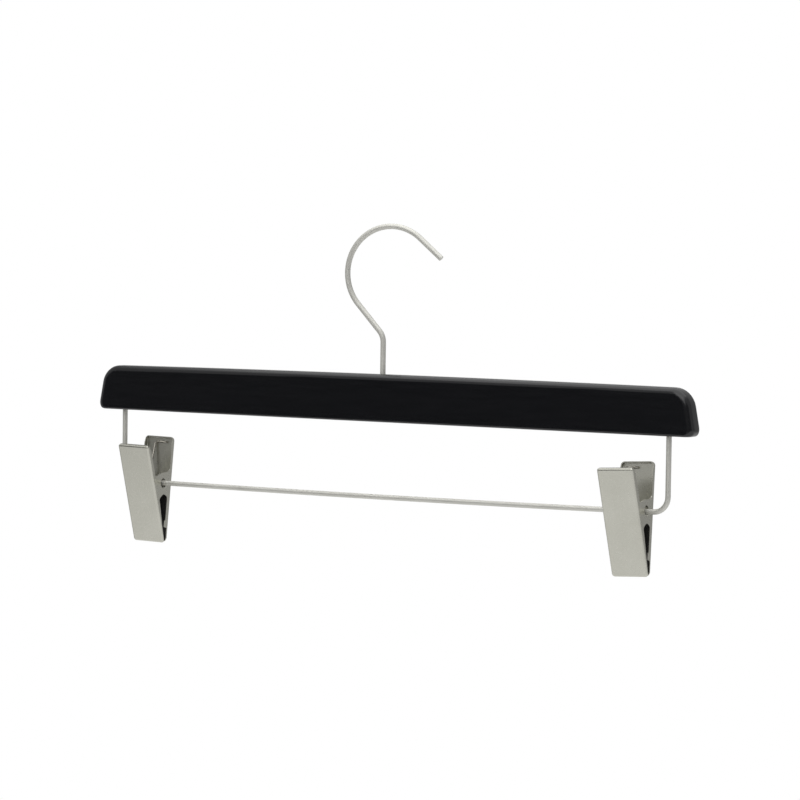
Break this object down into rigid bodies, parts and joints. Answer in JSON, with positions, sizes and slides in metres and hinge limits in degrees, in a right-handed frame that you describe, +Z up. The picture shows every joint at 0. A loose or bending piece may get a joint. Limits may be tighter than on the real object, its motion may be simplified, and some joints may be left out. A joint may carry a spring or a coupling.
{
  "type": "clip hanger",
  "caption": "Straight black wooden bar hanger with a swivelling wire hook and sprung metal clips that slide on a wire rail under the bar.",
  "frame": {"origin": "point inside the hook's crown that bears on a clothes rod", "axes": "+X along the bar toward the hook's open side, -Y to the front, +Z up"},
  "size_m": [0.3791, 0.0279, 0.1803],
  "materials": {
    "black_lacquer": "satin black lacquer",
    "nickel_wire": "pearl nickel plate",
    "nickel_sheet": "pearl nickel plate",
    "spring_steel": "plain plated",
    "black_rubber": "matte"
  },
  "bodies": {
    "hook": {"hook": "nickel_wire"},
    "bar": {"bar": "black_lacquer", "rail": "nickel_wire", "hook_washer": "spring_steel"},
    "left_spring": {"left_spring": "spring_steel"},
    "left_rear_jaw": {"left_rear_jaw": "nickel_sheet", "left_rear_pad": "black_rubber"},
    "left_front_jaw": {"left_front_jaw": "nickel_sheet", "left_front_pad": "black_rubber"},
    "right_spring": {"right_spring": "spring_steel"},
    "right_rear_jaw": {"right_rear_jaw": "nickel_sheet", "right_rear_pad": "black_rubber"},
    "right_front_jaw": {"right_front_jaw": "nickel_sheet", "right_front_pad": "black_rubber"}
  },
  "joints": [
    {"name": "hook_swivel", "type": "hinge", "parent": "hook", "child": "bar", "pos_m": [-0.00388, -0.00075, -0.0776], "axis": [0, 0, 1], "continuous": true},
    {"name": "left_slide", "type": "slide", "parent": "bar", "child": "left_spring", "axis": [1, 0, 0.0038], "range_m": [0, 0.1415]},
    {"name": "left_swing", "type": "hinge", "parent": "left_spring", "child": "left_rear_jaw", "pos_m": [-0.16078, -0.00075, -0.14353], "axis": [1, 0, 0.0038], "continuous": true, "deforming": ["left_spring"]},
    {"name": "left_squeeze", "type": "hinge", "parent": "left_rear_jaw", "child": "left_front_jaw", "pos_m": [-0.16078, -0.00075, -0.14353], "axis": [-0.9999, 0, 0.0157], "range_deg": [0, 30], "stiffness_Nm_per_rad": 0.35, "springref_deg": -20.05, "deforming": ["left_spring"]},
    {"name": "right_slide", "type": "slide", "parent": "bar", "child": "right_spring", "axis": [1, 0, 0.0038], "range_m": [-0.1415, 0.0053]},
    {"name": "right_swing", "type": "hinge", "parent": "right_spring", "child": "right_rear_jaw", "pos_m": [0.14732, -0.00075, -0.14237], "axis": [1, 0, 0.0038], "continuous": true, "deforming": ["right_spring"]},
    {"name": "right_squeeze", "type": "hinge", "parent": "right_rear_jaw", "child": "right_front_jaw", "pos_m": [0.14732, -0.00075, -0.14237], "axis": [-0.9985, 0, -0.0541], "range_deg": [0, 30], "stiffness_Nm_per_rad": 0.35, "springref_deg": -20.05, "deforming": ["right_spring"]}
  ]
}
